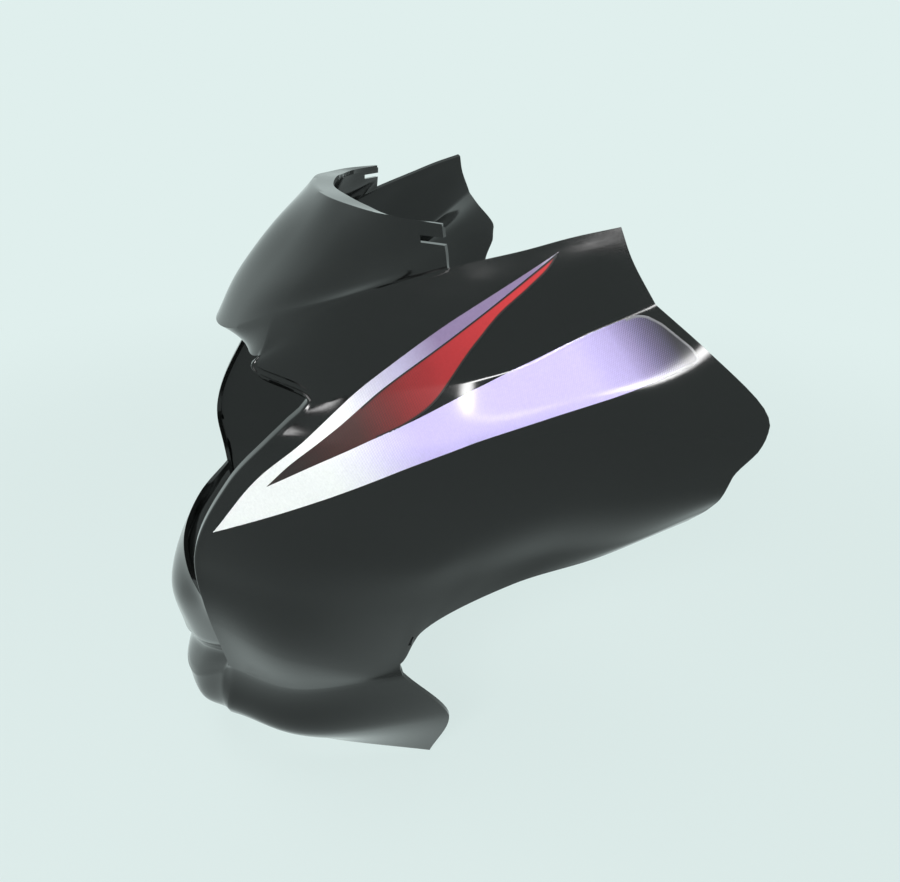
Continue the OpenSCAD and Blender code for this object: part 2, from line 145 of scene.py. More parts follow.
rail_mid = [(0, nose_front + 13, nose_z + 21), (38, nose_front + 23, nose_z + 24),
            (66, nose_front + 41, nose_z + 31),
            (foot_x - 21, foot_y - 32, foot_z - 9), (foot_x - 3, foot_y, foot_z + 5)]
rail_nose = [(0, nose_front, nose_z), (38, nose_front + 10, nose_z + 5),
             (66, nose_front + 31, nose_z + 19),
             (foot_x - 19, foot_y - 40, foot_z - 14), (foot_x - 1, foot_y, foot_z + 1)]
rail_foot = [(0, nose_front + 14, nose_z - 7), (38, nose_front + 16, nose_z - 4),
             (brow_x, brow_y, nose_z + 3),
             (foot_x - 18, foot_y - 41, foot_z - 16), (foot_x, foot_y, foot_z)]
strip_rails = [
    [(0, strip_front + 12, strip_z - 1), (42, strip_front + 18, strip_z),
     (lamp_x - 4 - step_in, lamp_y, strip_z)],
    [(0, strip_front, strip_z - 30), (40, strip_front + 9, strip_z - 22),
     (lamp_x - 13 - step_in, lamp_y + 1, strip_z - 15)],
    [(0, strip_front + 1, strip_z - 64), (35, strip_front + 12, strip_z - 54),
     (lamp_x - 20 - step_in, lamp_y + 1, strip_z - 39)],
    [(0, strip_front + 1 + groove, strip_z - 75), (33, strip_front + 12 + groove, strip_z - 65),
     (lamp_x - 25 - step_in, lamp_y + 2, strip_z - 49)],
    [(0, strip_front - 2, strip_z - 93), (36, strip_front + 7, strip_z - 82),
     (lamp_x - 28, lamp_y - 4, strip_z - 58)],
]
chin_front_rails = [
    strip_rails[-1],
    [(0, strip_front + 2, chin_z + 41), (36, strip_front + 9, chin_z + 50),
     (lamp_x - 34, lamp_y - 9, chin_z + 62)],
    [(0, lamp_y - 13, chin_z + 30), (24, lamp_y - 11, chin_z + 32),
     (lamp_x - 49, lamp_y - 5, chin_z + 38)],
]

cheek_t = [0, 0.28, 0.5, 0.6, 0.75, 0.88, 1]
hood_t = [0, 0.25, 0.5, 0.78, 1]
hood_edge_t = 0.5
front_t = [0, 0.5, 1]
side_v = [0, 0.12, 0.26, 0.34, 0.42, 0.6, 0.85, 1]
chin_v = [1.1, 1.35, 1.6]


def curve(points, knots, t, crisp=()):
    """A smooth curve through the points, with a corner at each knot where crisp is 1."""
    points = np.asarray(points, float)
    last = len(points) - 1
    k = min(max(int(np.searchsorted(knots, t, side="right")) - 1, 0), last - 1)

    def slope(at, side):
        before = (points[at] - points[at - 1]) / (knots[at] - knots[at - 1]) if at > 0 else None
        after = (points[at + 1] - points[at]) / (knots[at + 1] - knots[at]) if at < last else None
        if at == 0:
            on_middle = points[0][0] == 0 and points[1][0] > 0
            return after * (1, 0, 0) if on_middle else after
        if at == last:
            return before
        h0, h1 = knots[at] - knots[at - 1], knots[at + 1] - knots[at]
        sharp = crisp[at] if at < len(crisp) else 0
        smooth = (before * h1 + after * h0) / (h0 + h1)
        return smooth * (1 - sharp) + (before if side < 0 else after) * sharp

    h = knots[k + 1] - knots[k]
    s = (t - knots[k]) / h
    return ((2 * s**3 - 3 * s**2 + 1) * points[k] + (s**3 - 2 * s**2 + s) * slope(k, 1) * h
            + (3 * s**2 - 2 * s**3) * points[k + 1] + (s**3 - s**2) * slope(k + 1, -1) * h)


# Cells of the fine skin across and down, for one half
n_front, n_roll, n_cheek, n_wing = 26, 7, 36, 42
n_flange, n_hood, n_facet, n_side, n_strip, n_chin = 4, 26, 5, 64, 24, 20
n_turn = 5
crease_round = 0.007
j_front, j_edge = n_front, n_front + n_roll
j_foot = j_edge + n_cheek
j_rear = j_foot + n_wing
i_foot = n_flange + n_hood + n_facet
i_strip = i_foot + n_side
i_fold = i_strip + n_strip
i_chin = i_fold + n_chin


# Rows down the side, drawn together at the crease so that its edge stays tight
side_at = np.linspace(0, 1, n_side + 1)
near = np.argmin(abs(side_at - side_v[2]))
side_at[near] = side_v[2]
side_at[near - 1], side_at[near + 1] = side_v[2] - crease_round, side_v[2] + crease_round


def hood_column(u, foot):
    rim, nose, flange = (curve(r, hood_t, u) for r in (rail_rim, rail_nose, rail_flange))
    body = [rim, curve(rail_high, hood_t, u), curve(rail_mid, hood_t, u), nose]
    return ([flange + (rim - flange) * i / n_flange for i in range(n_flange)]
            + [curve(body, [0, 0.32, 0.66, 1], i / n_hood) for i in range(n_hood + 1)]
            + [nose + (foot - nose) * i / n_facet for i in range(1, n_facet + 1)])


def side_column(u):
    crease = min(1, u * 1.6)
    rows = [curve(r, cheek_t, u) for r in side_rails]
    on_cheek = u <= cheek_t[2] + 1e-9
    if on_cheek:
        rows += [curve(r, cheek_t[:3], u) for r in chin_rails]
    knots = side_v + (chin_v if on_cheek else [])
    crisp = [1, 0, crease, 0, 0, 0, 0, 0, 0.6, 0.2, 1]
    at = list(side_at[1:])
    if on_cheek:
        at += [1 + 0.1 * i / n_strip for i in range(1, n_strip + 1)]
        at += [1.1 + 0.5 * i / n_chin for i in range(1, n_chin + 1)]
    return [curve(rows, knots, t, crisp) for t in at]


def front_column(u):
    rows = [curve(r, front_t, u) for r in strip_rails]
    low = [curve(r, front_t, u) for r in chin_front_rails]
    return ([curve(rows, [0, 0.35, 0.62, 0.8, 1], i / n_strip, [1, 0, 0.9, 0, 0])
             for i in range(n_strip + 1)]
            + [curve(low, [0, 0.5, 1], i / n_chin) for i in range(1, n_chin + 1)])


def skin_half():
    """Grid of points on the left half, rows down and columns back from the middle plane."""
    grid = np.zeros((i_chin + 1, j_rear + 1, 3))
    for j in range(j_front + 1):
        u = hood_edge_t * 0.96 * j / j_front
        grid[:i_foot + 1, j] = hood_column(u, curve(rail_foot, hood_t, u))
        grid[i_strip:, j] = front_column(j / j_front)
    for j in range(j_edge, j_foot + 1):
        s = (j - j_edge) / n_cheek
        foot = curve(side_rails[0], cheek_t, cheek_t[2] * s)
        grid[:i_foot + 1, j] = hood_column(hood_edge_t + (1 - hood_edge_t) * s, foot)
        grid[i_foot + 1:, j] = side_column(cheek_t[2] * s)
    for j in range(j_foot + 1, j_rear + 1):
        u = cheek_t[2] + (1 - cheek_t[2]) * (j - j_foot) / n_wing
        grid[i_foot, j] = curve(side_rails[0], cheek_t, u)
        grid[i_foot + 1:i_strip + 1, j] = side_column(u)
    # The cheek's edge beside the lamp rolls inwards
    low = grid[i_strip, j_front] - grid[i_strip, j_edge]
    top = grid[i_foot, j_front] - grid[i_foot, j_edge]
    for i in range(i_foot + 1, i_strip):
        s = (i - i_foot) / n_side
        near_end = min(1, min(s, 1 - s) * 6)
        ends = top + (low - top) * s
        grid[i, j_front] = grid[i, j_edge] + ends + ((-roll_in, -roll_front, 0) - ends) * near_end
    for i in range(i_chin + 1):
        across = grid[i, j_front] - grid[i, j_edge]
        rolled = i_foot < i < i_strip
        for j in range(j_front + 1, j_edge):
            # A tight quarter turn forward, then straight inwards
            turned = min(1, (j_edge - j) / n_turn) * math.pi / 2
            inward = roll_front / roll_in * (1 - math.cos(turned))
            inward += (1 - roll_front / roll_in) * max(0, j_edge - j - n_turn) / (n_roll - n_turn)
            share = (j_edge - j) / n_roll
            moved = (inward, math.sin(turned), inward) if rolled else share
            grid[i, j] = grid[i, j_edge] + across * moved
    return grid


def covered(i, j):
    if j >= j_foot:
        return i_foot <= i < i_strip
    if j >= j_front:
        return True
    return i < i_foot or i >= i_strip


def skin_mesh(grid, name, both=True):
    """The covered cells of the grid as one open sheet, mirrored to the right."""
    made = bmesh.new()
    verts = {}

    def corner(i, j, side):
        key = (i, j, side if j else 1)
        if key not in verts:
            x, y, z = grid[i, j] * mm
            verts[key] = made.verts.new((x * key[2], y, z))
        return verts[key]

    for i in range(i_chin):
        for j in range(j_rear):
            if covered(i, j):
                for side in ((1, -1) if both else (1,)):
                    quad = [corner(i, j, side), corner(i, j + 1, side),
                            corner(i + 1, j + 1, side), corner(i + 1, j, side)]
                    made.faces.new(quad[::-1] if side > 0 else quad)
    mesh = bpy.data.meshes.new(name)
    made.to_mesh(mesh)
    made.free()
    mesh.polygons.foreach_set("use_smooth", [True] * len(mesh.polygons))
    thing = bpy.data.objects.new(name, mesh)
    bpy.context.collection.objects.link(thing)
    return thing


def made_plain(thing):
    """Works the object's modifiers into a plain mesh."""
    done = thing.evaluated_get(bpy.context.evaluated_depsgraph_get())
    mesh = bpy.data.meshes.new_from_object(done)
    thing.modifiers.clear()
    thing.data = mesh


left_half = skin_half()
moulding = skin_mesh(left_half, "gloss_moulding")
outer_sheet = skin_mesh(left_half, "outer_sheet", both=False)
surface = BVHTree.FromObject(outer_sheet, bpy.context.evaluated_depsgraph_get())
thicken = moulding.modifiers.new("wall", "SOLIDIFY")
thicken.thickness = wall * mm
thicken.offset = -1

# Clip slots in the rear corners of the hood
slot_len, slot_h, slot_down, slot_deep = 8, 2.6, 8, 20
slot_past = 6  # how far the cutter reaches beyond the slot, half at each end
for side in (1, -1):
    bpy.ops.mesh.primitive_cube_add(size=1)
    cutter = bpy.context.object
    cutter.scale = Vector((slot_deep, slot_len + slot_past, slot_h)) * mm
    cutter.location = Vector((side * rim_x, foot_y + slot_past / 2 - slot_len / 2,
                              rim_z - slot_down)) * mm
    cut = moulding.modifiers.new("slot", "BOOLEAN")
    cut.object = cutter
    cut.solver = "EXACT"
    bpy.context.view_layer.update()
    made_plain(moulding)
    bpy.data.objects.remove(cutter)
round_edges = moulding.modifiers.new("rounded_edges", "BEVEL")
round_edges.width = 0.6 * mm
round_edges.segments = 3
round_edges.limit_method = "ANGLE"
round_edges.angle_limit = math.radians(50)
round_edges.use_clamp_overlap = True
round_edges.harden_normals = True
made_plain(moulding)

# Screw bosses inside, two at the sides and two in the chin, each on a thin web
boss_r, screw_r, screw_len, web = 7, 2.6, 16, 2.4
round_sides = 48
bosses = bmesh.new()
for x, y, z, length in ((103, 0, 0, 26), (70, 12, -148, 30)):
    profile = [(0, y - length), (boss_r, y - length), (boss_r, y - 0.5), (boss_r - 0.5, y),
               (screw_r + 0.4, y), (screw_r, y - 0.4), (screw_r, y - screw_len), (0, y - screw_len)]
    for side in (1, -1):
        rings = [[bosses.verts.new(Vector((side * x + r * math.cos(t), d, z + r * math.sin(t))) * mm)
                  for t in np.linspace(0, 2 * math.pi, round_sides, endpoint=False)]
                 for r, d in profile]
        for one, two in zip(rings, rings[1:]):
            for k in range(round_sides):
                bosses.faces.new((one[k], one[k - 1], two[k - 1], two[k]))
        strip = []
        for d in np.linspace(y - length, y, 9):
            hit = surface.ray_cast(Vector((0.5, d * mm, z * mm)), Vector((-1, 0, 0)))[0]
            in_wall = hit.x - wall / 2 * mm
            strip.append([bosses.verts.new((side * px, d * mm, (z + up * web / 2) * mm))
                          for px, up in ((x * mm, 1), (in_wall, 1), (in_wall, -1), (x * mm, -1))])
        for one, two in zip(strip, strip[1:]):
            for k in range(4):
                quad = (one[k], one[k - 1], two[k - 1], two[k])
                bosses.faces.new(quad if side > 0 else quad[::-1])
        for end, turned in ((strip[0], side < 0), (strip[-1], side > 0)):
            bosses.faces.new(end[::-1] if turned else end)
bmesh.ops.remove_doubles(bosses, verts=bosses.verts, dist=1e-6)
bmesh.ops.recalc_face_normals(bosses, faces=bosses.faces)
boss_mesh = bpy.data.meshes.new("bosses")
bosses.to_mesh(boss_mesh)
bosses.free()
boss_mesh.shade_smooth()
boss_mesh.set_sharp_from_angle(angle=math.radians(35))
boss_part = bpy.data.objects.new("bosses", boss_mesh)
bpy.context.collection.objects.link(boss_part)
with bpy.context.temp_override(active_object=moulding, selected_editable_objects=[moulding, boss_part]):
    bpy.ops.object.join()
# Nothing of the visor stands past its solid
low_corner, high_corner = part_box("visor_shell")
places = np.empty(len(moulding.data.vertices) * 3)
moulding.data.vertices.foreach_get("co", places)
places = np.clip(places.reshape(-1, 3), low_corner, high_corner)
moulding.data.vertices.foreach_set("co", places.ravel())

# Gloss black: nearly black, a faint orange peel in the shine, and dust and wiping
# marks that dull it a little here and there
gloss_rough, dust_rough = 0.085, 0.08
gloss = bpy.data.materials.new("gloss_black_plastic")
gloss.use_nodes = True
nodes, links = gloss.node_tree.nodes, gloss.node_tree.links
plastic = nodes["Principled BSDF"]
plastic.inputs["Base Color"].default_value = (0.0045, 0.005, 0.0048, 1)
plastic.inputs["IOR"].default_value = 1.5
plastic.inputs["Specular IOR Level"].default_value = 0.35
place = nodes.new("ShaderNodeTexCoord")
peel = nodes.new("ShaderNodeTexNoise")
peel.inputs["Scale"].default_value = 220
bump = nodes.new("ShaderNodeBump")
bump.inputs["Strength"].default_value = 0.012
bump.inputs["Distance"].default_value = 0.001
wiped = nodes.new("ShaderNodeMapping")
wiped.inputs["Scale"].default_value = (30, 9, 45)
wiped.inputs["Rotation"].default_value = (0.45, 0, 0)
marks = nodes.new("ShaderNodeTexNoise")
marks.inputs["Scale"].default_value = 1
marks.inputs["Detail"].default_value = 6
marks.inputs["Roughness"].default_value = 0.65
dull = nodes.new("ShaderNodeMapRange")
dull.inputs["From Min"].default_value = 0.42
dull.inputs["From Max"].default_value = 0.75
dull.inputs["To Min"].default_value = gloss_rough
dull.inputs["To Max"].default_value = gloss_rough + dust_rough
links.new(place.outputs["Object"], peel.inputs["Vector"])
links.new(peel.outputs["Fac"], bump.inputs["Height"])
links.new(bump.outputs["Normal"], plastic.inputs["Normal"])
links.new(place.outputs["Object"], wiped.inputs["Vector"])
links.new(wiped.outputs["Vector"], marks.inputs["Vector"])
links.new(marks.outputs["Fac"], dull.inputs["Value"])
links.new(dull.outputs["Result"], plastic.inputs["Roughness"])
moulding.data.materials.clear()
moulding.data.materials.append(gloss)
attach(moulding, "root")
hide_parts("visor_shell")

# The side stripes. Printed vinyl cut as a long V: a white tip, a thin upper arm and
# a broad band with a slanted end; a red blade fills the V. They lie on the skin.
stripe_tip = (-68, 13)
blade_tip = (top_rear - 22, rim_z - 9)
inner_notch = (-41, 39)
band_top = (wing_rear - 32, wing_z + 27.5)
band_end = (wing_rear - 17, wing_z + 14.5)
thin_upper = [stripe_tip, (-41, 46), (-18, 65), (7, 86), (31, 105), blade_tip]
thin_lower = [inner_notch, (-31, 49.5), (-5, 69.5), (15, 86), (38, 104), blade_tip]
band_upper = [inner_notch, (-20, 51), (2, 62), (21, 71.5), (40, 82), (58, 91), band_top]
band_lower = [stripe_tip, (-30, 29), (3, 45), (20, 54), (48, 68), (67, 77), band_end]
blade_lower = [inner_notch, (-20, 51), (2, 62), (19, 70.5), (27, 76), (49, 103.5),
               (58, 115), (69, 125.5), (77, 134), blade_tip]
film_lift = 0.3
film_strips = 14  # cells across each arm
stripe_run = (0.901, 0.434)  # the stripe's direction in the side view
end_round = 5
edge_steps, tip_steps = 150, 24
tip_share = 0.16


def along_line(points, start, end, count, crisp=()):
    """Places at even steps along a line in the side view, rounded at its points."""
    points = np.asarray(points, float)
    run = np.r_[0, np.cumsum(np.linalg.norm(np.diff(points, axis=0), axis=1))]
    return np.array([curve(points, run / run[-1], t, crisp) for t in np.linspace(start, end, count)])


def rail_pair(upper, lower, tip_of=None):
    """Matching points along both edges; tip_of is where both edges start together."""
    if tip_of is None:
        return along_line(upper, 0, 1, edge_steps), along_line(lower, 0, 1, edge_steps)
    to_notch = np.linspace(tip_of, inner_notch, tip_steps)[:-1]
    low_edge = lower[0] == tip_of
    full, inner = (lower, upper) if low_edge else (upper, lower)
    full = np.vstack([along_line(full, 0, tip_share, tip_steps)[:-1],
                      along_line(full, tip_share, 1, edge_steps)])
    inner = np.vstack([to_notch, along_line(inner, 0, 1, edge_steps)])
    return (inner, full) if low_edge else (full, inner)


def edge_distance(spots, outline):
    """Distance of each spot from a closed outline, both in the side view."""
    a, b = outline, np.roll(outline, -1, axis=0)
    way = b - a
    share = ((spots[:, None] - a) * way).sum(2) / np.maximum((way**2).sum(1), 1e-9)
    nearest = a + way * np.clip(share, 0, 1)[..., None]
    return np.linalg.norm(spots[:, None] - nearest, axis=2).min(1)


def lay_film(name, arms, outline, side, paint):
    """A thin film over the skin, made from strips between pairs of edges."""
    made = bmesh.new()
    rim = made.verts.layers.float.new("rim_mm")
    along = made.verts.layers.float.new("along_mm")
    thin = made.verts.layers.float.new("thin_arm")
    sheet = outer_sheet.data
    shine = {}
    for number, (upper, lower) in enumerate(arms):
        spots = np.array([[u + (l - u) * k / film_strips for k in range(film_strips + 1)]
                          for u, l in zip(upper, lower)])
        flat = spots.reshape(-1, 2)
        from_edge = edge_distance(flat, outline)
        verts = []
        for (y, z), inset in zip(flat, from_edge):
            hit, normal, face, _ = surface.ray_cast(Vector((0.5, y * mm, z * mm)),
                                                    Vector((-1, 0, 0)))
            corners = [sheet.vertices[v] for v in sheet.polygons[face].vertices]
            weights = poly_3d_calc([v.co for v in corners], hit)
            normal = sum((v.normal * w for v, w in zip(corners, weights)), Vector()).normalized()
            spot = hit + normal * film_lift * mm
            vert = made.verts.new((spot.x * side, spot.y, spot.z))
            vert[rim] = inset
            vert[along] = (y - stripe_tip[0]) * stripe_run[0] + (z - stripe_tip[1]) * stripe_run[1]
            vert[thin] = 1 if number == 1 else 0
            shine[vert] = Vector((normal.x * side, normal.y, normal.z))
            verts.append(vert)
        wide = film_strips + 1
        for i in range(len(upper) - 1):
            for k in range(film_strips):
                quad = [verts[i * wide + k], verts[i * wide + k + 1],
                        verts[(i + 1) * wide + k + 1], verts[(i + 1) * wide + k]]
                made.faces.new(quad if side > 0 else quad[::-1])
    mesh = bpy.data.meshes.new(name)
    made.verts.index_update()
    normals = [shine[v] for v in made.verts]
    made.to_mesh(mesh)
    made.free()
    mesh.polygons.foreach_set("use_smooth", [True] * len(mesh.polygons))
    mesh.normals_split_custom_set_from_vertices(normals)
    film = bpy.data.objects.new(name, mesh)
    bpy.context.collection.objects.link(film)
    mesh.materials.append(paint)
    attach(film, "root")
    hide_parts(name)


band_pair = rail_pair(band_upper, band_lower, stripe_tip)
thin_pair = rail_pair(thin_upper, thin_lower, stripe_tip)
blade_pair = rail_pair(thin_lower, blade_lower)
# The band's end corners are round
for edge, other in (band_pair, band_pair[::-1]):
    gap = np.linalg.norm(edge - edge[-1], axis=1)
    bend = np.clip(end_round - gap, 0, end_round)
    pull = end_round - np.sqrt(end_round**2 - bend**2)
    inward = (other - edge) / np.maximum(np.linalg.norm(other - edge, axis=1), 1e-9)[:, None]
    edge += inward * pull[:, None]
stripe_line = np.vstack([thin_pair[0], thin_pair[1][::-1][:edge_steps],
                         band_pair[0][tip_steps - 1:], band_pair[1][::-1]])
blade_line = np.vstack([blade_pair[0], blade_pair[1][::-1]])

stripe_paint = bpy.data.materials.new("stripe_print")
stripe_paint.use_nodes = True
blade_paint = bpy.data.materials.new("blade_print")
blade_paint.use_nodes = True
for side, word in ((1, "left"), (-1, "right")):
    lay_film("stripe_" + word, [band_pair, thin_pair], stripe_line, side, stripe_paint)
    lay_film("red_blade_" + word, [blade_pair], blade_line, side, blade_paint)
bpy.data.objects.remove(outer_sheet)

# Screen of fine dots that both prints share: it fades one colour into the next
screen = bpy.data.node_groups.new("dot_screen", "ShaderNodeTree")
face = screen.interface
face.new_socket("Level", in_out="INPUT", socket_type="NodeSocketFloat")
face.new_socket("Pitch mm", in_out="INPUT", socket_type="NodeSocketFloat").default_value = 0.8
face.new_socket("Mask", in_out="OUTPUT", socket_type="NodeSocketFloat")
nodes, links = screen.nodes, screen.links
way_in, way_out = nodes.new("NodeGroupInput"), nodes.new("NodeGroupOutput")
place = nodes.new("ShaderNodeTexCoord")
turned = nodes.new("ShaderNodeMapping")
turned.inputs["Rotation"].default_value = (math.radians(65), 0, 0)
per_mm = nodes.new("ShaderNodeMath")
per_mm.operation = "DIVIDE"
per_mm.inputs[0].default_value = 2000 * math.pi
grow = nodes.new("ShaderNodeVectorMath")
grow.operation = "SCALE"
parts = nodes.new("ShaderNodeSeparateXYZ")
links.new(place.outputs["Object"], turned.inputs["Vector"])
links.new(way_in.outputs["Pitch mm"], per_mm.inputs[1])
links.new(turned.outputs["Vector"], grow.inputs[0])
links.new(per_mm.outputs[0], grow.inputs["Scale"])
links.new(grow.outputs[0], parts.inputs[0])
waves = []
for part in ("Y", "Z"):
    wave = nodes.new("ShaderNodeMath")
    wave.operation = "SINE"
    links.new(parts.outputs[part], wave.inputs[0])
    waves.append(wave)
dots = nodes.new("ShaderNodeMath")
dots.operation = "MULTIPLY"
links.new(waves[0].outputs[0], dots.inputs[0])
links.new(waves[1].outputs[0], dots.inputs[1])
spread = nodes.new("ShaderNodeMath")
spread.operation = "MULTIPLY_ADD"
spread.inputs[1].default_value = 0.5
spread.inputs[2].default_value = 0.5
links.new(dots.outputs[0], spread.inputs[0])
excess = nodes.new("ShaderNodeMath")
excess.operation = "SUBTRACT"
links.new(way_in.outputs["Level"], excess.inputs[0])
links.new(spread.outputs[0], excess.inputs[1])
edge = nodes.new("ShaderNodeMapRange")
edge.inputs["From Min"].default_value = -0.12
edge.inputs["From Max"].default_value = 0.12
links.new(excess.outputs[0], edge.inputs["Value"])
links.new(edge.outputs[0], way_out.inputs["Mask"])


def print_fades(paint, first, fades, border_from, border_colour):
    """Colours along a film, each fading into the next through the dot screen.

    A fade is its start and end in mm, its colour, its share on the thin arm and on
    the rest, and how much of it is dots.
    """
    nodes, links = paint.node_tree.nodes, paint.node_tree.links
    vinyl = nodes["Principled BSDF"]
    vinyl.inputs["Roughness"].default_value = 0.17
    vinyl.inputs["IOR"].default_value = 1.5
    vinyl.inputs["Specular IOR Level"].default_value = 0.35
    along = nodes.new("ShaderNodeAttribute")
    along.attribute_name = "along_mm"
    thin = nodes.new("ShaderNodeAttribute")
    thin.attribute_name = "thin_arm"
    rim = nodes.new("ShaderNodeAttribute")
    rim.attribute_name = "rim_mm"
    place = nodes.new("ShaderNodeTexCoord")
    grain = nodes.new("ShaderNodeTexNoise")
    grain.inputs["Scale"].default_value = 900
    grain.inputs["Detail"].default_value = 3
    links.new(place.outputs["Object"], grain.inputs["Vector"])
    shade = nodes.new("ShaderNodeRGB")
    shade.outputs[0].default_value = first
    colour = shade.outputs[0]
    for start, end, next_colour, on_thin, on_wide, dotted in fades:
        level = nodes.new("ShaderNodeMapRange")
        level.inputs["From Min"].default_value = start
        level.inputs["From Max"].default_value = end
        links.new(along.outputs["Fac"], level.inputs["Value"])
        dots = nodes.new("ShaderNodeGroup")
        dots.node_tree = screen
        links.new(level.outputs[0], dots.inputs["Level"])
        soft = nodes.new("ShaderNodeMix")
        soft.inputs["Factor"].default_value = dotted
        links.new(level.outputs[0], soft.inputs["A"])
        links.new(dots.outputs[0], soft.inputs["B"])
        amount = nodes.new("ShaderNodeMath")
        amount.operation = "MULTIPLY_ADD"
        amount.inputs[1].default_value = on_thin - on_wide
        amount.inputs[2].default_value = on_wide
        links.new(thin.outputs["Fac"], amount.inputs[0])
        share = nodes.new("ShaderNodeMath")
        share.operation = "MULTIPLY"
        share.use_clamp = True
        links.new(amount.outputs[0], share.inputs[0])
        links.new(soft.outputs["Result"], share.inputs[1])
        blend = nodes.new("ShaderNodeMix")
        blend.data_type = "RGBA"
        blend.inputs["B"].default_value = next_colour
        links.new(share.outputs[0], blend.inputs["Factor"])
        links.new(colour, blend.inputs["A"])
        colour = blend.outputs["Result"]
    speck = nodes.new("ShaderNodeMapRange")
    speck.inputs["To Min"].default_value = 0.9
    speck.inputs["To Max"].default_value = 1.08
    links.new(grain.outputs["Fac"], speck.inputs["Value"])
    specked = nodes.new("ShaderNodeMix")
    specked.data_type = "RGBA"
    specked.blend_type = "MULTIPLY"
    specked.inputs["Factor"].default_value = 1
    links.new(colour, specked.inputs["A"])
    links.new(speck.outputs[0], specked.inputs["B"])
    near_edge = nodes.new("ShaderNodeMapRange")
    near_edge.inputs["From Min"].default_value = 0.9
    near_edge.inputs["From Max"].default_value = 0.5
    links.new(rim.outputs["Fac"], near_edge.inputs["Value"])
    far_end = nodes.new("ShaderNodeMath")
    far_end.operation = "GREATER_THAN"
    far_end.inputs[1].default_value = border_from
    links.new(along.outputs["Fac"], far_end.inputs[0])
    border = nodes.new("ShaderNodeMath")
    border.operation = "MULTIPLY"
    links.new(near_edge.outputs[0], border.inputs[0])
    links.new(far_end.outputs[0], border.inputs[1])
    edged = nodes.new("ShaderNodeMix")
    edged.data_type = "RGBA"
    edged.inputs["B"].default_value = border_colour
    links.new(border.outputs[0], edged.inputs["Factor"])
    links.new(specked.outputs["Result"], edged.inputs["A"])
    links.new(edged.outputs["Result"], vinyl.inputs["Base Color"])


# Stripe: white tip, dots to lilac. The broad band ends darker purple, then near
# black; the thin arm turns grey purple and pales again at its point.
white, lilac = (0.95, 0.96, 0.95, 1), (0.6, 0.52, 0.9, 1)
print_fades(stripe_paint, white,
            [(64, 106, lilac, 0, 1, 0.75), (72, 112, (0.5, 0.46, 0.66, 1), 1, 0, 0.5),
             (112, 132, (0.27, 0.2, 0.35, 1), 1, 0, 0), (176, 188, (0.52, 0.48, 0.58, 1), 1, 0, 0),
             (176, 200, (0.32, 0.27, 0.5, 1), 0, 1, 0.12),
             (190, 208, (0.035, 0.034, 0.04, 1), 0, 1, 0.3)],
            198, (0.22, 0.22, 0.23, 1))
# Blade: dark brown at the foot, dots up to red
print_fades(blade_paint, (0.022, 0.017, 0.016, 1),
            [(48, 86, (0.06, 0.022, 0.02, 1), 1, 1, 0.4), (84, 128, (0.36, 0.022, 0.026, 1), 1, 1, 0.6),
             (122, 165, (0.62, 0.04, 0.046, 1), 1, 1, 0)],
            90, (0.02, 0.018, 0.018, 1))

# Floor, world and lamps. A plain pale floor and backdrop. The camera, the gloss and
# anything clear all see the same background, and the floor keeps a soft shadow.
pale = (0.745, 0.863, 0.847, 1)


def seen_rays(nodes, links):
    """1 for the camera's rays and for mirrored and transmitted ones, else 0."""
    path = nodes.new("ShaderNodeLightPath")
    seen = path.outputs["Is Camera Ray"]
    for kind in ("Is Glossy Ray", "Is Transmission Ray"):
        either = nodes.new("ShaderNodeMath")
        either.operation = "MAXIMUM"
        links.new(seen, either.inputs[0])
        links.new(path.outputs[kind], either.inputs[1])
        seen = either.outputs[0]
    return seen


floor_z = chin_z * mm - 0.003
floor_mesh = bpy.data.meshes.new("floor")
floor_half = 4
floor_mesh.from_pydata([(-floor_half, -floor_half, floor_z), (floor_half, -floor_half, floor_z),
                        (floor_half, floor_half, floor_z), (-floor_half, floor_half, floor_z)],
                       [], [(0, 1, 2, 3)])
floor = bpy.data.objects.new("floor", floor_mesh)
bpy.context.collection.objects.link(floor)
floor_paint = bpy.data.materials.new("floor_paint")
floor_paint.use_nodes = True
floor_mesh.materials.append(floor_paint)
nodes, links = floor_paint.node_tree.nodes, floor_paint.node_tree.links
sheet_look = nodes["Principled BSDF"]
sheet_look.inputs["Base Color"].default_value = (0.62, 0.68, 0.67, 1)
sheet_look.inputs["Roughness"].default_value = 0.9
sheet_look.inputs["Specular IOR Level"].default_value = 0
shown = nodes.new("ShaderNodeEmission")
shown.inputs["Color"].default_value = pale
place = nodes.new("ShaderNodeTexCoord")
reach = nodes.new("ShaderNodeVectorMath")
reach.operation = "LENGTH"
fade = nodes.new("ShaderNodeMapRange")
fade.interpolation_type = "SMOOTHSTEP"
fade.inputs["From Min"].default_value = 0.4
fade.inputs["From Max"].default_value = 1.1
fade.inputs["To Min"].default_value = 0.86
share = nodes.new("ShaderNodeMath")
share.operation = "MULTIPLY"
blend = nodes.new("ShaderNodeMixShader")
links.new(place.outputs["Object"], reach.inputs[0])
links.new(reach.outputs["Value"], fade.inputs["Value"])
links.new(seen_rays(nodes, links), share.inputs[0])
links.new(fade.outputs[0], share.inputs[1])
links.new(share.outputs[0], blend.inputs["Fac"])
links.new(sheet_look.outputs[0], blend.inputs[1])
links.new(shown.outputs[0], blend.inputs[2])
links.new(blend.outputs[0], nodes["Material Output"].inputs["Surface"])

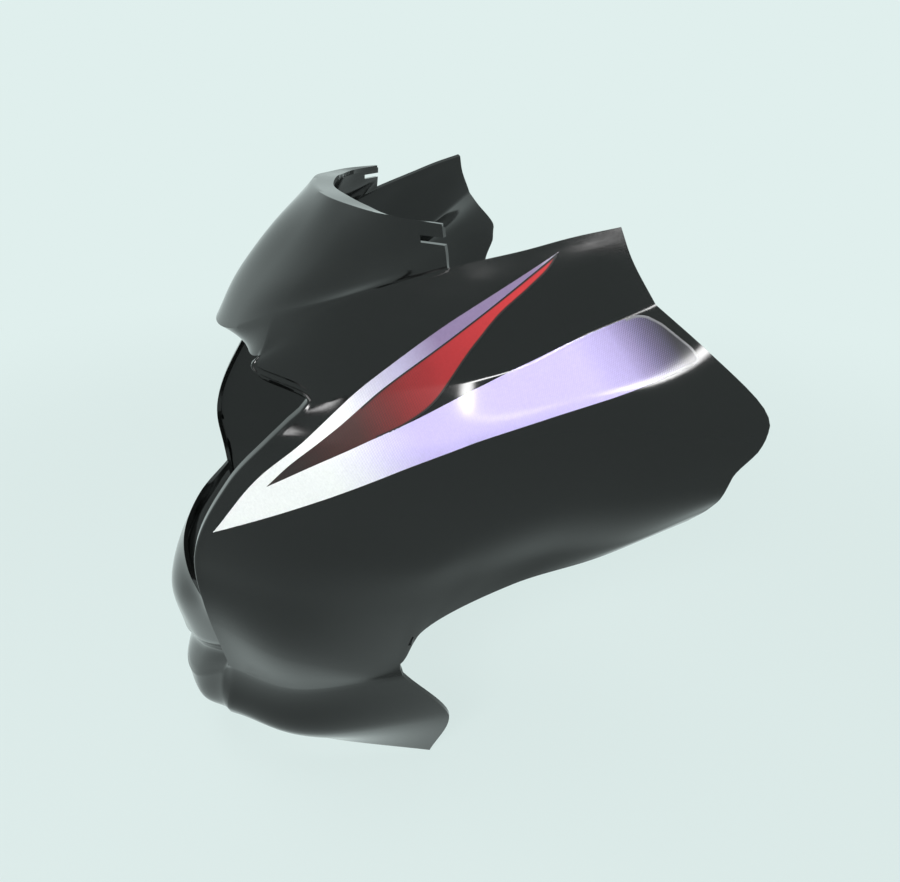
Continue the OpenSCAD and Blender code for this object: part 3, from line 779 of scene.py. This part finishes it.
# Soft lamps: planes whose light falls off smoothly to their border. The key lamp
# draws the line along the crease and the ridge; the high one lights the hood.
middle = Vector((0.12, 0, 0.05))
lamp_distance = 1.2
for name, azimuth, height, tilt, wide, high, strength in (
        ("key_lamp", -29, 37, 15, 0.4, 0.115, 40), ("high_lamp", -70, 76, 0, 0.6, 0.4, 6.3)):
    azimuth, height = math.radians(azimuth), math.radians(height)
    way = Vector((math.cos(height) * math.cos(azimuth), math.cos(height) * math.sin(azimuth),
                  math.sin(height)))
    box_mesh = bpy.data.meshes.new(name)
    box_mesh.from_pydata([(-wide, -high, 0), (wide, -high, 0), (wide, high, 0), (-wide, high, 0)],
                         [], [(0, 1, 2, 3)])
    softbox = bpy.data.objects.new(name, box_mesh)
    bpy.context.collection.objects.link(softbox)
    softbox.matrix_world = (Matrix.Translation(middle + way * lamp_distance)
                            @ way.to_track_quat("Z", "Y").to_matrix().to_4x4()
                            @ Matrix.Rotation(math.radians(tilt), 4, "Z"))
    glow = bpy.data.materials.new(name + "_glow")
    glow.use_nodes = True
    nodes, links = glow.node_tree.nodes, glow.node_tree.links
    nodes.remove(nodes["Principled BSDF"])
    place = nodes.new("ShaderNodeTexCoord")
    fit = nodes.new("ShaderNodeMapping")
    fit.inputs["Scale"].default_value = (1 / wide, 1 / high, 1)
    fall = nodes.new("ShaderNodeTexGradient")
    fall.gradient_type = "SPHERICAL"
    soft = nodes.new("ShaderNodeMapRange")
    soft.interpolation_type = "SMOOTHSTEP"
    soft.inputs["From Max"].default_value = 0.6
    soft.inputs["To Max"].default_value = strength
    lamp = nodes.new("ShaderNodeEmission")
    links.new(place.outputs["Object"], fit.inputs["Vector"])
    links.new(fit.outputs[0], fall.inputs[0])
    links.new(fall.outputs["Fac"], soft.inputs["Value"])
    links.new(soft.outputs[0], lamp.inputs["Strength"])
    links.new(lamp.outputs[0], nodes["Material Output"].inputs["Surface"])
    box_mesh.materials.append(glow)

# World: the same flat pale backdrop in every seen ray. As light it is soft, and
# stronger low behind the visor.
world = bpy.data.worlds.new("studio")
bpy.context.scene.world = world
world.use_nodes = True
nodes, links = world.node_tree.nodes, world.node_tree.links
room = nodes["Background"]
room.inputs["Color"].default_value = (0.9, 1.0, 0.96, 1)
seen = nodes.new("ShaderNodeBackground")
seen.inputs["Color"].default_value = pale
pick = nodes.new("ShaderNodeMixShader")
place = nodes.new("ShaderNodeTexCoord")
parts = nodes.new("ShaderNodeSeparateXYZ")
behind = nodes.new("ShaderNodeMapRange")
behind.interpolation_type = "SMOOTHSTEP"
behind.inputs["From Min"].default_value = -0.15
behind.inputs["From Max"].default_value = -0.95
low = nodes.new("ShaderNodeMapRange")
low.interpolation_type = "SMOOTHSTEP"
low.inputs["From Min"].default_value = 0.62
low.inputs["From Max"].default_value = 0.25
both = nodes.new("ShaderNodeMath")
both.operation = "MULTIPLY"
level = nodes.new("ShaderNodeMapRange")
level.inputs["To Min"].default_value = 0.27
level.inputs["To Max"].default_value = 1.53
links.new(place.outputs["Generated"], parts.inputs[0])
links.new(parts.outputs["X"], behind.inputs["Value"])
links.new(parts.outputs["Z"], low.inputs["Value"])
links.new(behind.outputs[0], both.inputs[0])
links.new(low.outputs[0], both.inputs[1])
links.new(both.outputs[0], level.inputs["Value"])
links.new(level.outputs[0], room.inputs["Strength"])
links.new(seen_rays(nodes, links), pick.inputs["Fac"])
links.new(room.outputs[0], pick.inputs[1])
links.new(seen.outputs[0], pick.inputs[2])
links.new(pick.outputs[0], nodes["World Output"].inputs["Surface"])

bpy.context.scene.view_settings.view_transform = "Standard"
